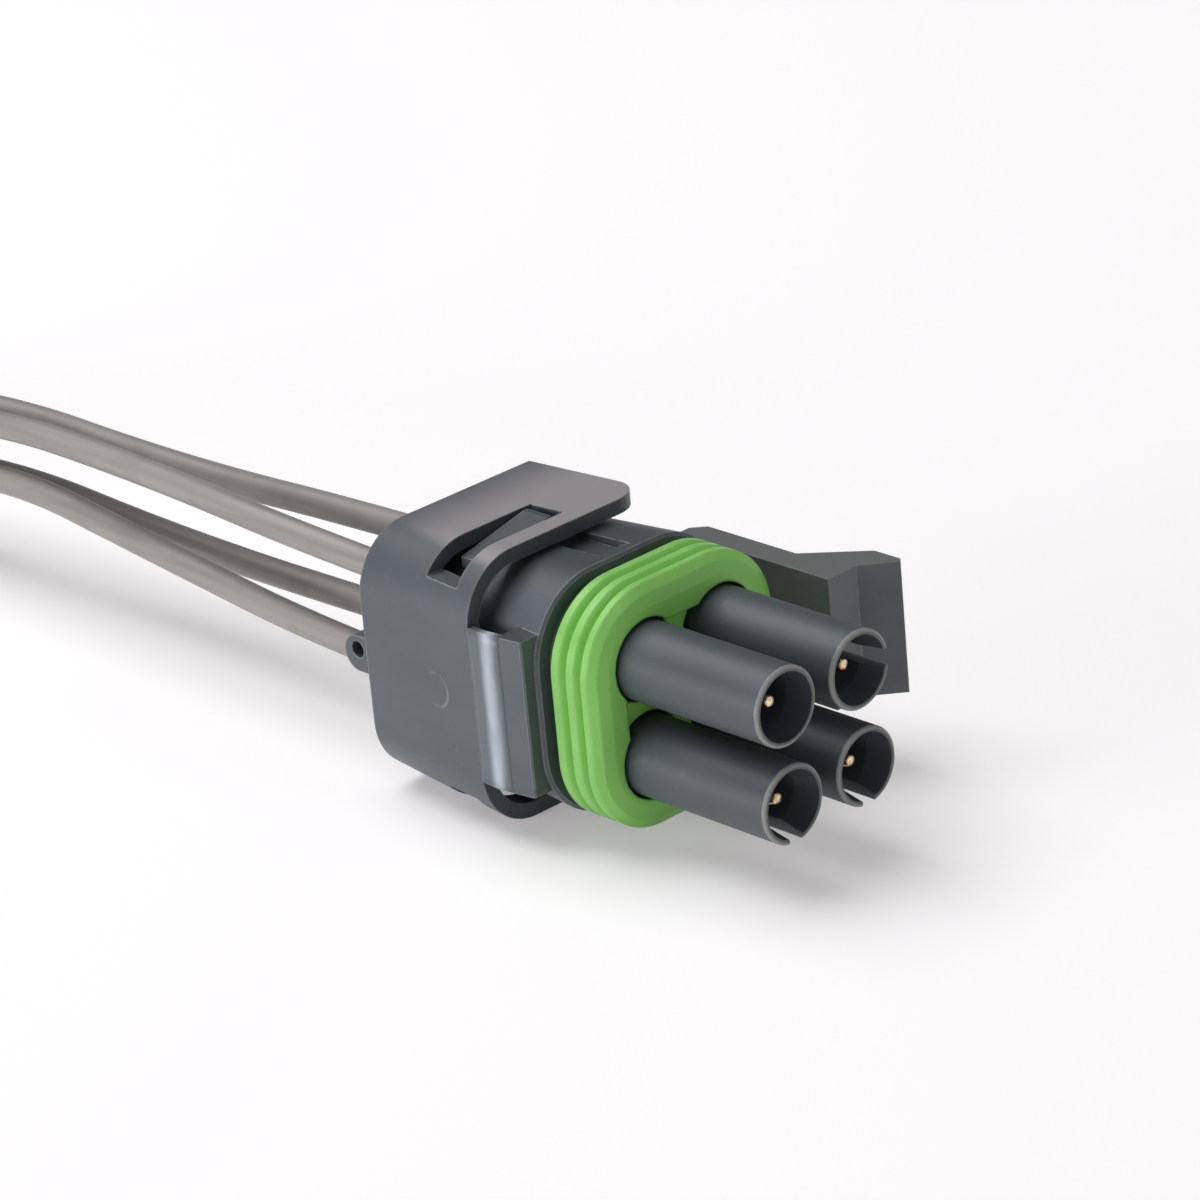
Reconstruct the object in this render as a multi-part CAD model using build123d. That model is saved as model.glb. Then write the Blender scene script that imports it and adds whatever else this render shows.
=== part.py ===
from build123d import *
import math
import os

os.makedirs("parts", exist_ok=True)

# Millimetres and degrees. +X points out of the tower mouths, +Z up. The origin is
# the middle of the square of four tower mouths, on the mating axis.

# Towers: a 2 by 2 square of sleeves, slotted at the mouth as keys
PITCH = 8.0
TOWER_R = 3.2
MOUTH_CHAMFER = 0.15
LEAD_IN_R = 2.78
LEAD_IN_DEPTH = 2.2
BORE_R = 2.3
SLOT_WIDTH = 1.45
SLOT_DEPTH = 5.0

# Stations along the mating axis
X_SEAL_FRONT = -14.5
X_SEAL_LIP = -14.72
X_WEB = -15.3
X_SEAL_REAR = -19.4
X_RIM = -20.43
X_BODY_REAR = -37.9
X_BORE_FLOOR = -15.0
X_BARREL_FRONT = -16.0
X_BARREL_REAR = -29.0
X_SEAL_POCKET = -31.0

# Housing block: a rounded square that narrows to the rear by its draft
RIM_HALF = 10.13
RIM_CORNER = 6.6
BODY_DRAFT = 3.37
RIM_CHAMFER = 0.25
NECK_HALF = 8.7
NECK_CORNER = 5.25
ROOT_SINK = 0.5

# Guide channels along the top and bottom, each with a ramp at its front end
CHANNEL_WIDTH = 3.1
CHANNEL_DEPTH = 0.88
X_RAMP_LOW = -23.2
X_RAMP_HIGH = -21.3

# Wedges that the lock's windows snap over
WEDGE_MARGIN = 0.55
WEDGE_RISE = 1.5
WEDGE_ROOT = 0.9
Y_WEDGE_FOOT = -7.0
Y_WEDGE_CREST = -0.2
WEDGE_CLEAR = 0.85

# Ridge beside the rim, and the thin strap between it and the lock, which bends as
# a hinge. The strap carries on the plane of the lock's side as far as its crease.
RIDGE_HALF = 6.55
RIDGE_RISE = 1.14
RIDGE_SLOPE = 7.3
RIDGE_NOSE = 0.12
RIDGE_FOOT = 1.1
X_RIDGE_FRONT = -20.75
X_STRAP_FRONT = -22.9
X_CREASE = -24.6
CREASE_R = 5.0
STRAP_T = 0.6

# Latch arm on the far side
ARM_HALF = 5.6
ARM_IN = 12.5
ARM_OUT = 14.8
ARM_ROOT_CHAMFER = 1.1
ARM_TIP_CHAMFER = 0.4
X_ARM_ROOT_REAR = -27.6
X_ARM_ROOT_FRONT = -25.2
X_ARM_FLARE = -16.8
X_ARM_BEND = -12.05
X_ARM_FACE = -11.2
X_ARM_TIP = -8.9
Y_ARM_SHOULDER = 15.7
Y_ARM_TIP = 18.7

# Hinged secondary lock: a wrap over the rear of the block
X_LOCK_REAR = -39.6
X_LOCK_FRONT = -26.2
LOCK_T = 1.25
LOCK_CLEAR = 0.32
LOCK_SIDE_CLEAR = 0.62
LOCK_CORNER = 5.2
Y_TAB_END = 8.1
TAB_CORNER = 3.0
TAB_SPLIT = 6.7
WINDOW_REAR = -32.0
WINDOW_FRONT = -28.2
WINDOW_END = 1.1
WINDOW_LOW = 8.95
WALL_GAP = 0.4
WIRE_SLOT = 3.8
WIRE_SLOT_END = -5.9
EAR_R = 1.55
EAR_REACH = 1.75
EAR_INSET = 0.6
EAR_T = 1.6
EAR_HOLE_R = 0.7
EAR_HOLE_RISE = 0.35

# Perimeter seal: three ribs on a base line that runs round the towers
RING_HALF = 8.6
RING_CORNER = 5.19
RING_IN = 1.2
RIB_FOOT = 0.7
RIB_CREST = 1.43
RIB_FLANK = 0.42
SEAL_GROOVES = (-17.8, -16.2)
LIP_FALL = 0.4
HOLE_CLEAR = 0.28
WEB_HALF = 6.6
WEB_CORNER = 3.2

# Contacts
PIN_R = 0.75
PIN_TIP_R = 0.42
PIN_TAPER = 1.1
X_PIN_TIP = -1.7
PIN_NECK_R = 1.0
PIN_NECK_PROUD = 0.4
PIN_NECK_CLEAR = 0.05
BARREL_R = 1.65
BARREL_CLEAR = 0.05

# Cable seals, one in each rear pocket
SEAL_POCKET_R = 2.75
CABLE_SEAL_CLEAR = 0.01
CABLE_SEAL_END_CLEAR = 0.05
CABLE_SEAL_GROOVE_R = 2.3
CABLE_SEAL_LEN = 5.4
CABLE_RIB_LEN = 1.9

# Leads: a grey jacket, with its copper core where it shows, at the cut end
WIRE_R = 1.2
WIRE_CLEAR = 0.02
CORE_R = 0.58
CORE_CLEAR = 0.02
CORE_SHOWN = 8.0
CORE_END_CLEAR = 0.2
X_WIRE_FRONT = -29.4

# Corner points of each lead behind the housing: from the photograph as far as it
# shows them, then down to the surface that the connector lies on.
ROUTES = {
    1: [(-51.0, -3.6, 4.04), (-76.0, -2.4, 5.62), (-101.0, -1.3, 4.57), (-131.0, -2.0, -1.0),
        (-160.0, -3.8, -9.9), (-187.0, -5.0, -10.1)],
    2: [(-52.0, 3.6, 3.93), (-78.0, 2.4, 3.07), (-104.0, 1.3, 4.37), (-134.0, 0.9, -1.2),
        (-163.0, 0.1, -9.9), (-189.0, -1.3, -10.1)],
    3: [(-51.0, -3.6, -4.26), (-76.0, -2.5, -1.95), (-101.0, -1.3, 0.1), (-130.0, -4.2, -6.2),
        (-159.0, -7.6, -10.1), (-186.0, -9.0, -10.1)],
    4: [(-52.0, 3.6, -4.37), (-78.0, 2.4, -4.02), (-104.0, 1.3, -1.9), (-132.0, 2.4, -7.8),
        (-160.0, 3.6, -10.1), (-187.5, 4.4, -10.1)],
}
ARC_SHARE = 0.45

# Each tower's side of the axis in Y and Z
TOWERS = {1: (-1, 1), 2: (1, 1), 3: (-1, -1), 4: (1, -1)}
SLOTTED_BELOW = (3, 4)
SLOTTED_BESIDE = 2

# How far a cutting tool reaches past what it cuts
OVER = 1.0
FAR = 30.0


def centre(n):
    side_y, side_z = TOWERS[n]
    return side_y * PITCH / 2, side_z * PITCH / 2


def body_half(x):
    """Half height of the drafted block at a station."""
    return RIM_HALF - (X_RIM - x) * math.tan(math.radians(BODY_DRAFT))


def across(x, y=0.0):
    """A work plane across the axis, with its own X along +Y."""
    return Plane(origin=(x, y, 0), x_dir=(0, 1, 0), z_dir=(1, 0, 0))


def drafted(x_rear, x_front, y_left, y_right, half, corner):
    """A block with round long edges that narrows to the rear by its draft."""
    fall = (x_front - x_rear) * math.tan(math.radians(BODY_DRAFT))
    plan = upright(
        [
            (x_front, y_left),
            (x_front, y_right),
            (x_rear, y_right - fall),
            (x_rear, y_left + fall),
        ],
        half,
    )
    profile = Polyline(
        (x_front, 0, half),
        (x_front, 0, -half),
        (x_rear, 0, fall - half),
        (x_rear, 0, half - fall),
        close=True,
    )
    shape = plan & extrude(make_face(profile), FAR, both=True)
    rear_edges, long_edges, front_edges = shape.edges().group_by(Axis.X)
    return fillet(long_edges, corner)


def drafted_body():
    """The block behind the rim, without what stands on it."""
    return drafted(X_BODY_REAR, X_RIM, -RIM_HALF, RIM_HALF, RIM_HALF, RIM_CORNER)


def block(x0, x1, y0, y1, z0, z1):
    return Pos((x0 + x1) / 2, (y0 + y1) / 2, (z0 + z1) / 2) * Box(x1 - x0, y1 - y0, z1 - z0)


def rod(x0, x1, r, y, z):
    return Pos((x0 + x1) / 2, y, z) * Rot(0, 90, 0) * Cylinder(r, x1 - x0)


def turned(points, y, z):
    """A solid turned about the line y, z from (x, radius) points."""
    return Pos(0, y, z) * revolve(make_face(Polyline(*points, close=True)), Axis.X, 360)


def upright(points, half):
    """A prism that stands 2 * half high on a plan outline of (x, y) points."""
    return extrude(make_face(Polyline(*points, close=True)), half, both=True)


def save(name, shape):
    shape = shape.solids()[0] if len(shape.solids()) == 1 else shape
    shape.label = name
    export_step(shape, f"parts/{name}.step")
    print(f"{name}: volume {shape.volume:.2f} solids {len(shape.solids())}")


def ridge_side(x):
    """The Y of the ridge's outer face at a station, on to the strap's crease."""
    rise = (X_RIDGE_FRONT - x) * math.tan(math.radians(RIDGE_SLOPE))
    return -(RIM_HALF + RIDGE_RISE + rise)


def ridge():
    """The raised bar that the strap grows from."""
    y_foot = -(RIM_HALF - RIDGE_FOOT)
    y_strap = ridge_side(X_STRAP_FRONT)
    heel = X_STRAP_FRONT - RIDGE_NOSE
    return upright(
        [
            (X_STRAP_FRONT, y_strap),
            (X_RIDGE_FRONT - RIDGE_NOSE, ridge_side(X_RIDGE_FRONT - RIDGE_NOSE)),
            (X_RIDGE_FRONT, ridge_side(X_RIDGE_FRONT) + RIDGE_NOSE),
            (X_RIDGE_FRONT, y_foot),
            (heel, y_foot),
            (heel, y_strap + STRAP_T + RIDGE_NOSE),
            (X_STRAP_FRONT, y_strap + STRAP_T),
        ],
        RIDGE_HALF,
    )


def latch_arm():
    """A long bar beside the towers, with a square catch face inside its flared tip."""
    y_root = body_half(X_ARM_ROOT_REAR) - ROOT_SINK
    bar = upright(
        [
            (X_ARM_ROOT_REAR, y_root),
            (X_ARM_ROOT_REAR, ARM_OUT - ARM_ROOT_CHAMFER),
            (X_ARM_ROOT_REAR + ARM_ROOT_CHAMFER, ARM_OUT),
            (X_ARM_FLARE, ARM_OUT),
            (X_ARM_BEND, Y_ARM_TIP),
            (X_ARM_TIP - ARM_TIP_CHAMFER, Y_ARM_TIP),
            (X_ARM_TIP, Y_ARM_TIP - ARM_TIP_CHAMFER),
            (X_ARM_FACE, Y_ARM_SHOULDER),
            (X_ARM_FACE, ARM_IN),
            (X_ARM_ROOT_FRONT, ARM_IN),
            (X_ARM_ROOT_FRONT, y_root),
        ],
        ARM_HALF,
    )
    return bar - drafted_body()


def channel(side):
    """The cutter for one guide channel, on the top or the bottom."""
    floor = RIM_HALF - CHANNEL_DEPTH
    above = RIM_HALF + OVER
    outline = Polyline(
        (X_BODY_REAR - OVER, 0, side * floor),
        (X_RAMP_LOW, 0, side * floor),
        (X_RAMP_HIGH, 0, side * RIM_HALF),
        (X_RAMP_HIGH, 0, side * above),
        (X_BODY_REAR - OVER, 0, side * above),
        close=True,
    )
    return extrude(make_face(outline), CHANNEL_WIDTH / 2, both=True)


def wedge(side):
    """The snap wedge that stands in one window of the closed lock."""
    x_mid = (WINDOW_REAR + WINDOW_FRONT) / 2
    skin = body_half(x_mid)
    y_end = WINDOW_END - WEDGE_CLEAR
    outline = Polyline(
        (x_mid, Y_WEDGE_FOOT, side * (skin - WEDGE_ROOT)),
        (x_mid, Y_WEDGE_FOOT, side * skin),
        (x_mid, Y_WEDGE_CREST, side * (skin + WEDGE_RISE)),
        (x_mid, y_end, side * (skin + WEDGE_RISE)),
        (x_mid, y_end, side * (skin - WEDGE_ROOT)),
        close=True,
    )
    half = (WINDOW_FRONT - WINDOW_REAR) / 2 - WEDGE_MARGIN
    return extrude(make_face(outline), half, both=True)


def cavity(n):
    """The cutter for one contact's way through the housing, from mouth to seal pocket."""
    points = [
        (OVER, 0),
        (OVER, LEAD_IN_R),
        (0, LEAD_IN_R),
        (-LEAD_IN_DEPTH, BORE_R),
        (X_BORE_FLOOR, BORE_R),
        (X_BORE_FLOOR, PIN_NECK_R + PIN_NECK_CLEAR),
        (X_BARREL_FRONT, PIN_NECK_R + PIN_NECK_CLEAR),
        (X_BARREL_FRONT, BARREL_R + BARREL_CLEAR),
        (X_SEAL_POCKET, BARREL_R + BARREL_CLEAR),
        (X_SEAL_POCKET, SEAL_POCKET_R),
        (X_BODY_REAR - OVER, SEAL_POCKET_R),
        (X_BODY_REAR - OVER, 0),
    ]
    return turned(points, *centre(n))


def housing():
    body = drafted_body()
    body = chamfer(body.faces().sort_by(Axis.X)[-1].edges(), RIM_CHAMFER)
    neck_rear = X_RIM - ROOT_SINK
    neck = across(neck_rear) * RectangleRounded(2 * NECK_HALF, 2 * NECK_HALF, NECK_CORNER)
    body += extrude(neck, X_SEAL_REAR - neck_rear)
    body += ridge()
    for side in (1, -1):
        body -= channel(side)
        body += wedge(side)
    for n in TOWERS:
        body -= cavity(n)
    return body


def tower(n):
    """One sleeve on the face of the neck, bored for its pin and slotted as a key."""
    outline = [
        (X_SEAL_REAR, 0),
        (X_SEAL_REAR, TOWER_R),
        (-MOUTH_CHAMFER, TOWER_R),
        (0, TOWER_R - MOUTH_CHAMFER),
        (0, 0),
    ]
    sleeve = turned(outline, *centre(n)) - cavity(n)
    half = SLOT_WIDTH / 2
    reach = TOWER_R + OVER
    y, z = centre(n)
    if n in SLOTTED_BELOW:
        sleeve -= block(-SLOT_DEPTH, OVER, y - half, y + half, z - reach, z)
    if n == SLOTTED_BESIDE:
        sleeve -= block(-SLOT_DEPTH, OVER, y, y + reach, z - half, z + half)
    return sleeve


def lock_side(x):
    """The Y of the lock's outer side face at a station."""
    return -(body_half(x) + LOCK_SIDE_CLEAR + LOCK_T)


def lock_shell(inset, x_rear, x_front):
    """The lock's outline, inset by a wall, as a solid that runs far to +Y."""
    half = body_half(x_front) + LOCK_CLEAR + LOCK_T - inset
    left = lock_side(x_front) + inset
    return drafted(x_rear, x_front, left, FAR, half, LOCK_CORNER - inset)


def layer(z0, z1):
    """All that lies between two heights."""
    return block(-2 * FAR, 0, -FAR, FAR, z0, z1)


def rear_wall():
    """The wall behind the cable seals, slotted from the free side for the leads."""
    x_in = X_LOCK_REAR + LOCK_T
    wall = lock_shell(LOCK_T + WALL_GAP, X_LOCK_REAR, x_in)
    wall &= block(X_LOCK_REAR, x_in, -FAR, Y_TAB_END, -FAR, FAR)
    root = lock_side(X_LOCK_REAR) + LOCK_T + WALL_GAP + ROOT_SINK
    bridge = block(X_LOCK_REAR, x_in, -FAR, root, -TAB_SPLIT, TAB_SPLIT)
    wall += lock_shell(0, X_LOCK_REAR, x_in) & bridge
    end = WIRE_SLOT_END + WIRE_SLOT / 2
    for z in (PITCH / 2, -PITCH / 2):
        wall -= block(X_LOCK_REAR - OVER, x_in + OVER, end, FAR, z - WIRE_SLOT / 2, z + WIRE_SLOT / 2)
        wall -= rod(X_LOCK_REAR - OVER, x_in + OVER, WIRE_SLOT / 2, end, z)
    return wall


def ear():
    """The small eye that stands off the rear edge of the lock's side."""
    y0 = lock_side(X_LOCK_REAR) + EAR_INSET
    x_eye = X_LOCK_REAR - EAR_REACH
    crosswise = Rot(90, 0, 0)
    shape = block(x_eye, X_LOCK_REAR + ROOT_SINK, y0, y0 + EAR_T, -EAR_R, EAR_R)
    shape += Pos(x_eye, y0 + EAR_T / 2, 0) * crosswise * Cylinder(EAR_R, EAR_T)
    hole = crosswise * Cylinder(EAR_HOLE_R, EAR_T + OVER)
    return shape - Pos(x_eye, y0 + EAR_T / 2, EAR_HOLE_RISE) * hole


def lock_parts():
    """The stiff side with its rear wall, and the two tabs that flex over the wedges."""
    wrap = lock_shell(0, X_LOCK_REAR, X_LOCK_FRONT)
    wrap -= lock_shell(LOCK_T, X_LOCK_REAR - OVER, X_LOCK_FRONT + OVER)
    wrap &= block(X_LOCK_REAR - OVER, X_LOCK_FRONT + OVER, -FAR, Y_TAB_END, -FAR, FAR)
    upright_edges = wrap.edges().filter_by(Axis.Z)
    free_end = upright_edges.group_by(Axis.Y)[-1]
    wrap = fillet(free_end.group_by(Axis.X)[-1], TAB_CORNER)
    for z0, z1 in ((WINDOW_LOW, FAR), (-FAR, -WINDOW_LOW)):
        wrap -= block(WINDOW_REAR, WINDOW_FRONT, -FAR, WINDOW_END, z0, z1)
    side = wrap & layer(-TAB_SPLIT, TAB_SPLIT)
    return side + rear_wall() + ear(), wrap & layer(TAB_SPLIT, FAR), wrap & layer(-FAR, -TAB_SPLIT)


def strap():
    """The thin bridge from the lock's side to the ridge, creased where it bends."""
    outer = FilletPolyline(
        (X_LOCK_FRONT, lock_side(X_LOCK_FRONT)),
        (X_CREASE, ridge_side(X_CREASE)),
        (X_STRAP_FRONT, ridge_side(X_STRAP_FRONT)),
        radius=CREASE_R,
    )
    inner = Pos(0, STRAP_T, 0) * outer
    face = make_face([outer, Line(outer @ 1, inner @ 1), inner, Line(inner @ 0, outer @ 0)])
    return extrude(face, RIDGE_HALF, both=True)


def seal():
    """Three ribs swept round the base line, over a web with a hole for each tower."""
    flat = RING_HALF - RING_CORNER
    foot = RING_CORNER + RIB_FOOT
    inner = RING_CORNER - RING_IN
    crest = RING_CORNER + RIB_CREST
    edges = (X_SEAL_REAR, *SEAL_GROOVES, X_SEAL_LIP)
    points = [(X_SEAL_REAR, inner), (X_SEAL_REAR, foot)]
    for a, b in zip(edges, edges[1:]):
        points += [(a + RIB_FLANK, crest), (b - RIB_FLANK, crest), (b, foot)]
    points += [(X_SEAL_FRONT, RING_CORNER - LIP_FALL), (X_SEAL_FRONT, inner)]
    profile = make_face(Polyline(*points, close=True))
    corner = Pos(0, flat, flat) * revolve(profile, Axis.X, 90)
    run = Pos(0, flat, -flat) * extrude(profile, 2 * flat)
    core_width = 2 * (RING_HALF - RING_IN)
    core = across(X_SEAL_REAR) * RectangleRounded(core_width, core_width, inner)
    ring = extrude(core, X_SEAL_FRONT - X_SEAL_REAR)
    for quarter in range(4):
        ring += Rot(90 * quarter, 0, 0) * (corner + run)
    web = across(X_WEB) * RectangleRounded(2 * WEB_HALF, 2 * WEB_HALF, WEB_CORNER)
    ring -= extrude(web, X_SEAL_FRONT - X_WEB + OVER)
    for n in TOWERS:
        hole_r = TOWER_R + HOLE_CLEAR
        ring -= rod(X_SEAL_REAR - OVER, X_SEAL_FRONT + OVER, hole_r, *centre(n))
    return ring


def contact(n):
    """A pin with a tapered nose, a neck through the bore's floor and a barrel."""
    x_neck = X_BORE_FLOOR + PIN_NECK_PROUD
    points = [
        (X_PIN_TIP, 0),
        (X_PIN_TIP, PIN_TIP_R),
        (X_PIN_TIP - PIN_TAPER, PIN_R),
        (x_neck, PIN_R),
        (x_neck, PIN_NECK_R),
        (X_BARREL_FRONT, PIN_NECK_R),
        (X_BARREL_FRONT, BARREL_R),
        (X_BARREL_REAR, BARREL_R),
        (X_BARREL_REAR, 0),
    ]
    return turned(points, *centre(n))


def route(n):
    """All corner points of one lead, from its contact to its cut end."""
    return [Vector(X_WIRE_FRONT, *centre(n))] + [Vector(*p) for p in ROUTES[n]]


def first_way(n):
    start, corner = route(n)[:2]
    return Plane(origin=start, z_dir=corner - start)


def cable_seal(n):
    """A sleeve with two ribs, between the wall of its pocket and the lead through it."""
    front = X_SEAL_POCKET - CABLE_SEAL_END_CLEAR
    rear = front - CABLE_SEAL_LEN
    rib = SEAL_POCKET_R - CABLE_SEAL_CLEAR
    points = [
        (front, 0),
        (front, rib),
        (front - CABLE_RIB_LEN, rib),
        (front - CABLE_RIB_LEN, CABLE_SEAL_GROOVE_R),
        (rear + CABLE_RIB_LEN, CABLE_SEAL_GROOVE_R),
        (rear + CABLE_RIB_LEN, rib),
        (rear, rib),
        (rear, 0),
    ]
    return turned(points, *centre(n)) - extrude(first_way(n) * Circle(WIRE_R + WIRE_CLEAR), FAR)


def lead(n):
    """One lead's jacket, along straight runs and tangent arcs, and the end of its core."""
    points = route(n)
    radii = []
    for a, b, c in zip(points, points[1:], points[2:]):
        turn = math.radians((b - a).get_angle(c - b))
        shorter = min((b - a).length, (c - b).length)
        radii.append(ARC_SHARE * shorter / math.tan(turn / 2))
    line = FilletPolyline(*points, radius=radii)
    jacket = sweep(first_way(n) * Circle(WIRE_R), path=line)
    full = math.pi * WIRE_R**2 * line.length
    print(f"wire_{n}: length {line.length:.1f} radii {[round(r, 1) for r in radii]}")
    print(f"   volume over section times length {jacket.volume / full:.4f}")

    cut_end = Plane(origin=points[-1], z_dir=points[-2] - points[-1])
    core = extrude(cut_end * Circle(CORE_R), CORE_SHOWN)
    return jacket - extrude(cut_end * Circle(CORE_R + CORE_CLEAR), CORE_SHOWN + CORE_END_CLEAR), core


save("front_housing", housing())
save("latch_arm", latch_arm())
for n in TOWERS:
    save(f"tower_{n}", tower(n))
side, tab_upper, tab_lower = lock_parts()
save("secondary_lock", side)
save("lock_tab_upper", tab_upper)
save("lock_tab_lower", tab_lower)
save("hinge_strap", strap())
save("perimeter_seal", seal())
for n in TOWERS:
    jacket, core = lead(n)
    save(f"contact_pin_{n}", contact(n))
    save(f"cable_seal_{n}", cable_seal(n))
    save(f"wire_{n}", jacket)
    save(f"conductor_{n}", core)
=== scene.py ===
import math

import bmesh
import bpy
from mathutils import Matrix, Vector


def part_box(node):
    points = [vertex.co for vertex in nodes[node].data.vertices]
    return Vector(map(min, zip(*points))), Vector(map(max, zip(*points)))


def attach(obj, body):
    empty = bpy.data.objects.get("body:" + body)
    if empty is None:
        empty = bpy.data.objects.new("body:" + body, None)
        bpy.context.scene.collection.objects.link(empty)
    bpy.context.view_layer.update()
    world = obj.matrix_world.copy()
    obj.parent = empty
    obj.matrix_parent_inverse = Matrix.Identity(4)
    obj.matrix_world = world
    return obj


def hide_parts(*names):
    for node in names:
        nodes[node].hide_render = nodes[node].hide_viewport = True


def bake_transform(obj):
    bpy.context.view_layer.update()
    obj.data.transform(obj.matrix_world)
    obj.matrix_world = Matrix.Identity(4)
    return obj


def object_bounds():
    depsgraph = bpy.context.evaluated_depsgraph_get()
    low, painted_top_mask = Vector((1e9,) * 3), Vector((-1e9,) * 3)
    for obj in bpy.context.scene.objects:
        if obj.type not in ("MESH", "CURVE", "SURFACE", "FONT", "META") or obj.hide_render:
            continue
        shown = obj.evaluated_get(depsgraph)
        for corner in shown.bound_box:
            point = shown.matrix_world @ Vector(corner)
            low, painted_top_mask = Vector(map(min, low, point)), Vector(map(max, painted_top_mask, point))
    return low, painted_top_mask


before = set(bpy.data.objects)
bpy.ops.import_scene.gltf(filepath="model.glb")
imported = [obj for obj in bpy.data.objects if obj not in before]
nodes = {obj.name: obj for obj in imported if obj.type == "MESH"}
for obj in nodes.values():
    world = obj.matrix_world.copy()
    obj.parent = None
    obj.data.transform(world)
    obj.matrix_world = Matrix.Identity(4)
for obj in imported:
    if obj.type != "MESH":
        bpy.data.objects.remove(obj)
cad_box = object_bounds()
MM = 0.001


# Shader maths


class Value:
    """One value in a finish. Sums and products on numbers add Math nodes."""

    def __init__(self, finish, socket):
        self.finish = finish
        self.socket = socket

    def maths(self, operation, a, b):
        return self.finish.add("ShaderNodeMath", {"operation": operation}, {0: a, 1: b})

    def __abs__(self):
        return self.finish.add("ShaderNodeMath", {"operation": "ABSOLUTE"}, {0: self})

    def __add__(self, other):
        return self.maths("ADD", self, other)

    def __radd__(self, other):
        return self.maths("ADD", other, self)

    def __sub__(self, other):
        return self.maths("SUBTRACT", self, other)

    def __rsub__(self, other):
        return self.maths("SUBTRACT", other, self)

    def __mul__(self, other):
        return self.maths("MULTIPLY", self, other)

    def __rmul__(self, other):
        return self.maths("MULTIPLY", other, self)

    def above(self, low, painted_top_mask):
        """0 below low, 1 above high, and a smooth step between them."""
        return self.finish.add(
            "ShaderNodeMapRange",
            {"interpolation_type": "SMOOTHSTEP"},
            {"Value": self, "From Min": low, "From Max": painted_top_mask},
        )


class Finish:
    """A material with one Principled surface, made node by node."""

    def __init__(self, name):
        self.material = bpy.data.materials.new(name)
        self.material.use_nodes = True
        self.tree = self.material.node_tree
        self.surface = self.tree.nodes["Principled BSDF"]
        self.place = self.add("ShaderNodeTexCoord", {}, {}, "Object")

    def add(self, kind, settings, sockets, output=0):
        """A new node: its settings first, then its sockets. Returns one of its outputs."""
        node = self.tree.nodes.new(kind)
        for name, setting in settings.items():
            setattr(node, name, setting)
        for name, value in sockets.items():
            self.join(node.inputs[name], value)
        return Value(self, node.outputs[output])

    def join(self, socket, value):
        if isinstance(value, Value):
            self.tree.links.new(value.socket, socket)
        else:
            socket.default_value = value

    def set(self, **sockets):
        """Joins values to the surface's sockets, with _ for a space in a socket's name."""
        for name, value in sockets.items():
            self.join(self.surface.inputs[name.replace("_", " ")], value)

    def noise(self, scale, detail=2.0, roughness=0.5, stretch=(1, 1, 1)):
        place = self.add("ShaderNodeMapping", {}, {"Vector": self.place, "Scale": stretch})
        return self.add(
            "ShaderNodeTexNoise",
            {},
            {"Vector": place, "Scale": scale, "Detail": detail, "Roughness": roughness},
        )

    def blend(self, share, low, painted_top_mask):
        """A colour between low and high."""
        return self.add(
            "ShaderNodeMix", {"data_type": "RGBA"}, {"Factor": share, 6: low, 7: painted_top_mask}, 2
        )

    def rounded(self, radius):
        """The surface's normal as if each sharp edge had a small radius."""
        return self.add("ShaderNodeBevel", {"samples": 4}, {"Radius": radius})

    def edge(self, rounded):
        """A mask of the edges: 1 minus how far the rounded normal follows the face."""
        along = self.add(
            "ShaderNodeVectorMath", {"operation": "DOT_PRODUCT"}, {0: rounded, 1: self.face()}, "Value"
        )
        return (1 - along).above(0.004, 0.09)

    def along(self, axis):
        """The place on the object along X, Y or Z, in metres."""
        return self.add("ShaderNodeSeparateXYZ", {}, {0: self.place}, axis)

    def face(self):
        return self.add("ShaderNodeNewGeometry", {}, {}, "Normal")

    def facing(self, axis):
        """How far the surface faces along X, Y or Z, from -1 to 1."""
        return self.add("ShaderNodeSeparateXYZ", {}, {0: self.face()}, axis)

    def blend_ways(self, share, low, painted_top_mask):
        """A direction between low and high."""
        return self.add(
            "ShaderNodeMix", {"data_type": "VECTOR"}, {"Factor": share, 4: low, 5: painted_top_mask}, 1
        )

    def bump(self, height, depth, strength, rounded):
        return self.add(
            "ShaderNodeBump",
            {},
            {"Height": height, "Distance": depth, "Strength": strength, "Normal": rounded},
        )


def tone(r, g, b):
    """A colour from the 0 to 255 values of a swatch."""

    def linear(c):
        c /= 255
        return c / 12.92 if c < 0.04045 else ((c + 0.055) / 1.055) ** 2.4

    return (linear(r), linear(g), linear(b), 1.0)


# Places that the finishes follow, in metres

BELOW_ALL = -1.0
LOCK_TOP_Z = 0.0104
RIDGE_SEAM = ("X", 0.0229)
TAB_SEAM = ("Z", 0.0067)
SEAM_BAND = 0.00016, 0.0003
TOWER_OFFSET = 0.004
MOUTH_RIM = 0.0028, 0.0031
EJECTOR_X = -0.031
EJECTOR_R = 0.0014
CREASE_HIGHLIGHT_X = -0.0242
SEAL_GROOVES = (-0.0178, -0.0162)
PIN_WEAR = -0.006, -0.0022


# Finishes

# Pale tone of scuffs, rubbed edges and the ejector mark, also of the painted highlights on edges and
# tower rims.
PALE_WEAR_AND_HIGHLIGHT = tone(176, 176, 172)
BLOOM = tone(186, 232, 156)
EDGE_RADIUS = 0.00014
SKIN_DEPTH = 0.00002


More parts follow.
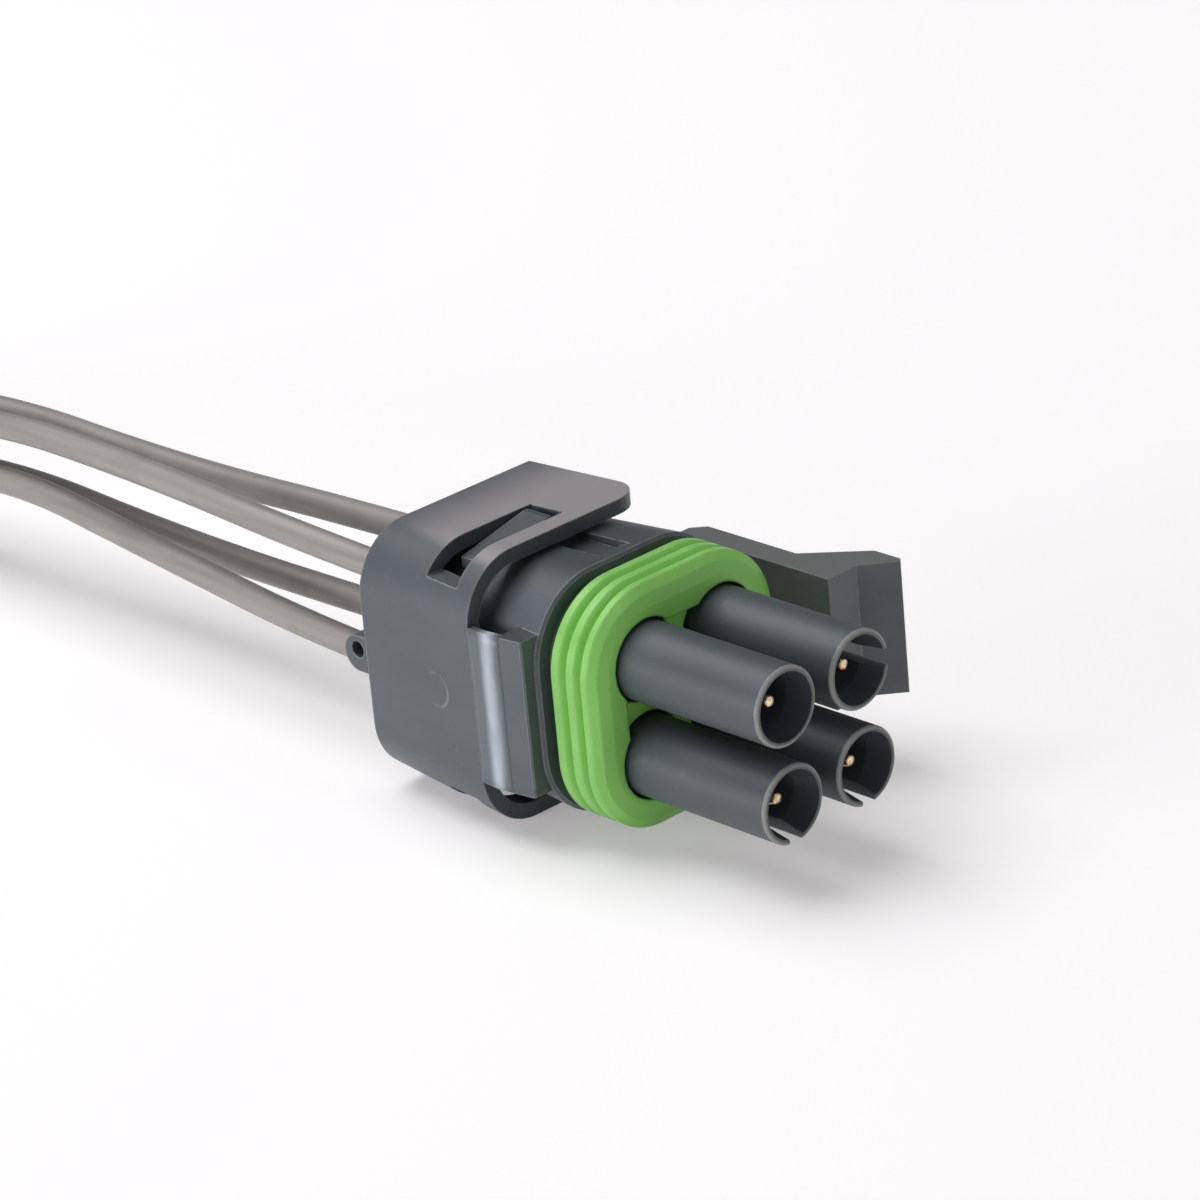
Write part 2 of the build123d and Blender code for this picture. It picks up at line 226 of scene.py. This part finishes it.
def moulded_grey(
    name, light, dark, roughness=0.38, radius=EDGE_RADIUS,
    painted_top_tone=None, above=BELOW_ALL, seam=None, rim_highlight=0.0, mark=0.0,
):
    """Satin moulded nylon: faint flow marks, a fine pebbled skin, and pale edges that are
    partly rubbed wear and partly painted highlight.

    radius is that of the rounded edges. The tone for faces that look up and lie higher
    than above is painted light: painted shade on the housing's and the arm's tops, and a
    painted reflection on the lock's top. seam gives the axis and the distance at which two
    solids of one moulding meet, where no edge shows. The last two arguments give the
    strength of a painted highlight on the front rims of the tower mouths, and the depth in
    relief of the ejector mark on the lock's side.
    """
    f = Finish(name)
    rounded = f.rounded(radius)
    if seam:
        axis, place = seam
        clear = abs(abs(f.along(axis)) - place).above(*SEAM_BAND)
        rounded = f.blend_ways(clear, f.face(), rounded)
    flow = f.noise(160, 3, 0.6, (0.35, 1, 1))
    grain = f.noise(5200, 2, 0.6)
    scuff = f.noise(900, 4, 0.65, (1, 0.25, 1)).above(0.64, 0.78)
    # Pale edges: partly rubbed wear in patches, partly a painted highlight for the light on the rounded
    # edges.
    rub_and_edge_highlight = f.edge(rounded) * f.noise(700, 3, 0.6).above(0.2, 0.5)
    colour = f.blend(flow.above(0.35, 0.65), dark, light)
    colour = f.blend(scuff * 0.16, colour, PALE_WEAR_AND_HIGHLIGHT)
    height = grain * 0.7 + scuff * 0.3
    # Painted light on the faces that look up: a painted tone, which is shade on the housing and the arm
    # and a reflection on the lock.
    if painted_top_tone:
        painted_top_mask = f.facing("Z").above(0.72, 1.0) * f.along("Z").above(above, above + 0.0006)
        colour = f.blend(painted_top_mask * 0.85, colour, painted_top_tone)
    # A painted highlight on the front rims of the tower mouths.
    if rim_highlight:
        across = f.add(
            "ShaderNodeCombineXYZ",
            {},
            {"X": abs(f.along("Y")) - TOWER_OFFSET, "Y": abs(f.along("Z")) - TOWER_OFFSET},
        )
        out = f.add("ShaderNodeVectorMath", {"operation": "LENGTH"}, {0: across}, "Value")
        front = (f.along("X") + 0.0002 * f.noise(1600, 3, 0.6)).above(-0.00025, 0.00005)
        colour = f.blend(front * out.above(*MOUTH_RIM) * rim_highlight, colour, PALE_WEAR_AND_HIGHLIGHT)
    if mark:
        flat = f.add("ShaderNodeMapping", {}, {"Vector": f.place, "Scale": (1, 0, 1)})
        out = f.add(
            "ShaderNodeVectorMath", {"operation": "DISTANCE"}, {0: flat, 1: (EJECTOR_X, 0, 0)}, "Value"
        )
        struck = (f.along("X") - EJECTOR_X).above(-0.0009, 0.0003)
        trace = (1 - abs(out - EJECTOR_R).above(0.00003, 0.0002)) * struck
        height = height - trace * mark
        colour = f.blend(trace * f.noise(500, 2, 0.5).above(0.35, 0.6) * 0.3, colour, PALE_WEAR_AND_HIGHLIGHT)
    f.set(
        Base_Color=f.blend(rub_and_edge_highlight * 0.8, colour, PALE_WEAR_AND_HIGHLIGHT),
        Roughness=roughness + flow * 0.08 + scuff * 0.12,
        Normal=f.bump(height, SKIN_DEPTH, 0.4, rounded),
    )
    return f.material


def creased_grey(name):
    """The strap's moulded nylon, with a painted highlight streak along the living hinge's crease."""
    f = Finish(name)
    # A painted highlight, bluish white, in patches along the crease.
    off = abs(f.along("X") - CREASE_HIGHLIGHT_X) + f.noise(900, 3, 0.6, (1, 1, 0.3)) * 0.0003
    painted_crease_highlight = (1 - off.above(0.0002, 0.0012)) * f.noise(400, 2, 0.5, (1, 1, 0.4)).above(0.05, 0.55)
    f.set(
        Base_Color=f.blend(painted_crease_highlight * 0.9, tone(94, 102, 110), tone(196, 206, 216)),
        Roughness=0.4,
        Normal=f.bump(f.noise(5200, 2, 0.6), SKIN_DEPTH, 0.3, f.rounded(EDGE_RADIUS)),
    )
    return f.material


def silicone_green(name, grooves=()):
    """Matt green silicone with a slight bloom of paler dust in patches, and paler edges along
    its crests; faces that look forward are painted lighter, and the grooves between the
    ribs get painted shade.

    grooves are the places along X of the two grooves between the ribs, where painted shade
    darkens them.
    """
    f = Finish(name)
    rounded = f.rounded(0.0003)
    cloud = f.noise(260, 3, 0.55)
    bloom = f.noise(1500, 4, 0.7).above(0.56, 0.74)
    # Painted shade in the two grooves between the ribs.
    painted_groove_shade = f.blend(cloud, tone(62, 112, 46), tone(76, 128, 56))
    colour = f.blend(cloud.above(0.3, 0.7), tone(128, 195, 94), tone(138, 205, 104))
    if grooves:
        away = [abs(f.along("X") - x) for x in grooves]
        nearest = f.add("ShaderNodeMath", {"operation": "MINIMUM"}, dict(enumerate(away)))
        colour = f.blend((1 - nearest.above(0.0001, 0.00045)) * 0.92, colour, painted_groove_shade)
    # Painted light: the faces that look forward are painted paler.
    colour = f.blend(f.facing("X").above(0.3, 0.95) * 0.9, colour, tone(166, 246, 122))
    colour = f.blend(bloom * 0.22, colour, BLOOM)
    f.set(
        Base_Color=f.blend(f.edge(rounded) * 0.25, colour, BLOOM),
        Roughness=0.42 + bloom * 0.2,
        Normal=f.bump(f.noise(2600, 3, 0.6), 0.00003, 0.5, rounded),
    )
    return f.material


def wire_jacket(name):
    """Extruded grey insulation: faint lengthwise draw marks and handling dirt."""
    f = Finish(name)
    draw = f.noise(900, 2, 0.5, (0.03, 1, 1))
    dirt = f.noise(220, 4, 0.6).above(0.5, 0.75)
    colour = f.blend(draw.above(0.3, 0.7), tone(144, 137, 133), tone(160, 154, 150))
    colour = f.blend(dirt * 0.3, colour, tone(122, 114, 108))
    f.set(
        Base_Color=colour,
        Roughness=0.4 + dirt * 0.15,
        Normal=f.bump(draw, 0.00003, 0.4, f.rounded(0.0001)),
    )
    return f.material


def tinned_brass(name):
    """Tin-plated contact, worn through to brass in patches towards its rounded tip."""
    f = Finish(name)
    wear = (f.along("X") + 0.0002 * f.noise(3000, 3, 0.6)).above(*PIN_WEAR)
    patch = f.noise(1500, 2, 0.5).above(0.38, 0.54)
    brass = f.blend(patch, tone(190, 134, 84), tone(240, 224, 192))
    f.set(
        Base_Color=f.blend(wear, tone(196, 192, 184), brass),
        Roughness=0.12 + f.noise(2400, 3, 0.5, (0.1, 1, 1)) * 0.16,
        Metallic=1.0,
        Normal=f.bump(f.noise(3800, 2, 0.5, (0.08, 1, 1)), 0.00001, 0.5, f.rounded(0.0003)),
    )
    return f.material


def bare_copper(name):
    """Bare copper strand ends, slightly dulled."""
    f = Finish(name)
    dull = f.noise(1800, 3, 0.6).above(0.4, 0.7)
    f.set(
        Base_Color=f.blend(dull, tone(214, 140, 96), tone(168, 104, 72)),
        Roughness=0.28 + dull * 0.25,
        Metallic=1.0,
        Normal=f.bump(dull, 0.00001, 0.4, f.rounded(0.00004)),
    )
    return f.material


# The housing's tops get a darker painted tone: painted shade.
GREY = moulded_grey(
    "housing_grey", tone(89, 96, 104), tone(81, 88, 96), painted_top_tone=tone(66, 73, 74), seam=RIDGE_SEAM
)
# The arm's top gets a darker painted tone: painted shade.
ARM_GREY = moulded_grey(
    "arm_grey", tone(118, 121, 125), tone(110, 113, 117), 0.4, painted_top_tone=tone(104, 107, 106)
)
# The lock's top gets a paler painted tone: a painted reflection.
LOCK_GREY = moulded_grey(
    "lock_grey", tone(83, 90, 98), tone(76, 83, 91), radius=0.0002,
    painted_top_tone=tone(159, 153, 156), above=LOCK_TOP_Z, seam=TAB_SEAM, mark=3.0,
)
# The towers get a painted highlight on their mouths' front rims.
TOWER_GREY = moulded_grey("tower_grey", tone(77, 84, 91), tone(72, 79, 86), 0.44, rim_highlight=0.8)
STRAP_GREY = creased_grey("strap_grey")
GREEN = silicone_green("seal_green", SEAL_GROOVES)
CABLE_GREEN = silicone_green("cable_seal_green")
JACKET = wire_jacket("wire_grey")
CONTACT = tinned_brass("contact_metal")
COPPER = bare_copper("conductor_copper")


def dress(name, material):
    """Gives a node of the CAD model its finish."""
    mesh = nodes[name].data
    mesh.materials.clear()
    mesh.materials.append(material)


dress("front_housing", GREY)
dress("latch_arm", ARM_GREY)
for name in ("secondary_lock", "lock_tab_upper", "lock_tab_lower"):
    dress(name, LOCK_GREY)
dress("perimeter_seal", GREEN)
for n in (1, 2, 3, 4):
    dress(f"tower_{n}", TOWER_GREY)
    dress(f"contact_pin_{n}", CONTACT)
    dress(f"cable_seal_{n}", CABLE_GREEN)


def made(name, mesh, material, body):
    """A new visible piece in a material slot, on a body if one is given."""
    obj = bpy.data.objects.new(name, mesh)
    bpy.context.scene.collection.objects.link(obj)
    mesh.materials.append(material)
    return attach(obj, body) if body else obj


# Camera, at the viewing angle of the photograph

EYE = (0.239248, -0.237510, 0.157551)
SENSOR_MM = 36
LENS_MM = 149.336

camera = bpy.data.objects.new("camera", bpy.data.cameras.new("camera"))
bpy.context.scene.collection.objects.link(camera)
right = Vector((0.694825, 0.713964, -0.086445))
up = Vector((-0.228669, 0.333286, 0.914675))
back = Vector((0.681856, -0.615772, 0.394838))
turn = Matrix((right, up, back)).transposed().to_4x4()
camera.matrix_world = Matrix.Translation(EYE) @ turn
camera.data.sensor_width = SENSOR_MM
camera.data.lens = LENS_MM
camera.data.clip_start = 0.01
bpy.context.scene.camera = camera


# Leads, in millimetres

WIRE_R = 1.2
ROUTES = {
    1: [
        (-29.4, -4, 4), (-51, -3.6, 4.04), (-76, -2.4, 4.85), (-101, -1.3, 4.3),
        (-131, -2, -1), (-160, -3.8, -9.9), (-187, -5, -10.1),
    ],
    2: [
        (-29.4, 4, 4), (-52, 3.6, 3.8), (-78, 2.4, 3.07), (-104, 1.3, 4.37),
        (-134, 0.9, -1.2), (-163, 0.1, -9.9), (-189, -1.3, -10.1),
    ],
    3: [
        (-29.4, -4, -4), (-51, -3.6, -4.26), (-76, -2.5, -2.35), (-101, -1.3, -0.4),
        (-130, -4.2, -6.2), (-159, -7.6, -10.1), (-186, -9, -10.1),
    ],
    4: [
        (-29.4, 4, -4), (-52, 3.6, -4.37), (-78, 2.4, -4.02), (-104, 1.3, -1.9),
        (-132, 2.4, -7.8), (-160, 3.6, -10.1), (-187.5, 4.4, -10.1),
    ],
}
STRANDS = 7
STRAND_R = 0.19
STRAND_REACH = 0.4
STRAND_TWIST = 1.9
STRAND_INSIDE = 8.0
STRAND_PROUD = 0.15


def spline_line(points):
    """One open NURBS spline through the middle of a lead."""
    curve = bpy.data.curves.new("line", "CURVE")
    curve.dimensions = "3D"
    curve.resolution_u = 16
    spline = curve.splines.new("NURBS")
    spline.points.add(len(points) - 1)
    for point, (x, y, z) in zip(spline.points, points):
        point.co = (x * MM, y * MM, z * MM, 1)
    spline.order_u = 3
    spline.use_endpoint_u = True
    return curve


def strand_end(name, tip, heading):
    """Twisted strands round a middle one, which stand a hair proud of the cut end."""
    side = heading.orthogonal().normalized()
    other = heading.cross(side)

    def away(angle):
        return side * math.cos(angle) + other * math.sin(angle)

    bm = bmesh.new()
    around, along = 8, 10
    middle = STRANDS - 1
    for k in range(STRANDS):
        rings = []
        for i in range(along + 1):
            s = i / along
            reach = (0.0 if k == middle else STRAND_REACH) * MM
            sink = (STRAND_INSIDE + STRAND_PROUD) * s - STRAND_INSIDE
            centre = tip + heading * (sink * MM) + away(s * STRAND_TWIST + k * math.tau / middle) * reach
            rings.append([
                bm.verts.new(centre + away(math.tau * j / around) * STRAND_R * MM) for j in range(around)
            ])
        for lower, painted_top_tone in zip(rings, rings[1:]):
            for j in range(around):
                after = (j + 1) % around
                bm.faces.new((lower[j], lower[after], painted_top_tone[after], painted_top_tone[j]))
        bm.faces.new(rings[0][::-1])
        bm.faces.new(rings[-1])
    for face in bm.faces:
        face.smooth = len(face.verts) == 4
    mesh = bpy.data.meshes.new(name)
    bm.to_mesh(mesh)
    bm.free()
    return mesh


for n, points in ROUTES.items():
    curve = spline_line(points)
    curve.bevel_depth = WIRE_R * MM
    curve.bevel_resolution = 8
    curve.use_fill_caps = True
    wire = made(f"wire_jacket_{n}", curve, JACKET, "connector")
    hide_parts(f"wire_{n}")
    tip, before = (Vector(points[k]) * MM for k in (-1, -2))
    strands = made(
        f"strands_{n}", strand_end(f"strands_{n}", tip, (tip - before).normalized()),
        COPPER, "connector",
    )
    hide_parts(f"conductor_{n}")


# Hinge strap, which bends as the lock opens, in millimetres

STRAP_T = 0.6
CREASE = Vector((-24.6, -11.763))
STRAP_ENDS = Vector((-26.2, -11.66)), Vector((-22.9, -11.545))
CREASE_HALF = 0.5


def strap_line(steps):
    """Points along the strap's outer side: two flats that meet in a rounded crease."""
    rear, front = STRAP_ENDS
    into = CREASE + (rear - CREASE).normalized() * CREASE_HALF
    out = CREASE + (front - CREASE).normalized() * CREASE_HALF
    bend = [
        into * (1 - t) ** 2 + CREASE * 2 * t * (1 - t) + out * t**2
        for t in (k / steps for k in range(steps + 1))
    ]
    quarters = [0.25, 0.5, 0.75]
    rear_flat = [rear.lerp(into, t) for t in quarters]
    front_flat = [out.lerp(front, t) for t in quarters]
    return [rear] + rear_flat + bend + front_flat + [front]


def strap_mesh():
    """The living hinge: a thin creased bridge, finely divided along and across."""
    low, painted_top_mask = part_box("hinge_strap")
    rows = 14
    line = strap_line(12)
    bm = bmesh.new()
    grid = []
    for p in line:
        column = []
        for j in range(rows + 1):
            z = low.z + (painted_top_mask.z - low.z) * j / rows
            outer = bm.verts.new((p.x * MM, p.y * MM, z))
            column.append((outer, bm.verts.new((p.x * MM, (p.y + STRAP_T) * MM, z))))
        grid.append(column)
    for this, following in zip(grid, grid[1:]):
        for j in range(rows):
            q = this[j], following[j], following[j + 1], this[j + 1]
            bm.faces.new([v[0] for v in q])
            bm.faces.new([v[1] for v in q][::-1])
        for j in (0, rows):
            bm.faces.new([this[j][0], this[j][1], following[j][1], following[j][0]])
    for column in (grid[0], grid[-1]):
        for j in range(rows):
            bm.faces.new([column[j][0], column[j][1], column[j + 1][1], column[j + 1][0]])
    bmesh.ops.recalc_face_normals(bm, faces=bm.faces)
    for face in bm.faces:
        face.smooth = abs(face.normal.y) > 0.9
    mesh = bpy.data.meshes.new("bending_strap")
    bm.to_mesh(mesh)
    bm.free()
    return mesh


strap = made("bending_strap", strap_mesh(), STRAP_GREY, None)
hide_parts("hinge_strap")
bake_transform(strap)


# Floor and light

FLOOR_GLOW = (0.305, 0.292, 0.297, 1)
FLOOR_HALF = 2.0
FLOOR_GAP = 0.00002
LIT_POINT = Vector((-0.02, 0, 0))
SKY_STRENGTH = 0.14


def pale_floor(name):
    """A pale floor that the camera, and what reflects or shows through, sees as white."""
    f = Finish(name)
    seen = f.add("ShaderNodeLightPath", {}, {}, "Is Camera Ray")
    mirrored = f.add("ShaderNodeLightPath", {}, {}, "Is Glossy Ray")
    through = f.add("ShaderNodeLightPath", {}, {}, "Is Transmission Ray")
    share = seen + mirrored + through
    f.set(
        Base_Color=(0.8, 0.79, 0.8, 1),
        Roughness=0.9,
        Emission_Color=f.blend(share, (0, 0, 0, 1), FLOOR_GLOW),
        Emission_Strength=1.0,
    )
    return f.material


def floor_sheet(z):
    """A flat white floor at height z, which is staging and no part of the connector."""
    mesh = bpy.data.meshes.new("floor")
    r = FLOOR_HALF
    mesh.from_pydata([(-r, -r, z), (r, -r, z), (r, r, z), (-r, r, z)], [], [(0, 1, 2, 3)])
    obj = bpy.data.objects.new("floor", mesh)
    bpy.context.scene.collection.objects.link(obj)
    mesh.materials.append(pale_floor("floor_white"))


floor_sheet(cad_box[0].z - FLOOR_GAP)


def soft_panel(name, place, wide, tall, brightness):
    """A softbox that faces the connector, with its brightness as seen in a mirror."""
    lamp = bpy.data.lights.new(name, "AREA")
    lamp.shape, lamp.size, lamp.size_y = "RECTANGLE", wide, tall
    lamp.energy = brightness * math.pi * wide * tall
    obj = bpy.data.objects.new(name, lamp)
    bpy.context.scene.collection.objects.link(obj)
    way = LIT_POINT - Vector(place)
    aimed = way.to_track_quat("-Z", "Y").to_matrix().to_4x4()
    obj.matrix_world = Matrix.Translation(place) @ aimed


soft_panel("top_panel", (-0.46, -0.12, 1.0), 0.92, 0.86, 3.95)
soft_panel("left_panel", (-0.3, -0.92, 0.15), 0.6, 0.28, 9.0)
soft_panel("front_panel", (0.9, 0.15, 0.5), 0.26, 0.24, 4.2)

world = bpy.data.worlds.new("studio")
bpy.context.scene.world = world
world.use_nodes = True
sky = world.node_tree.nodes["Background"]
sky.inputs["Color"].default_value = (1, 1, 1, 1)
sky.inputs["Strength"].default_value = SKY_STRENGTH

bpy.context.scene.view_settings.view_transform = "Standard"
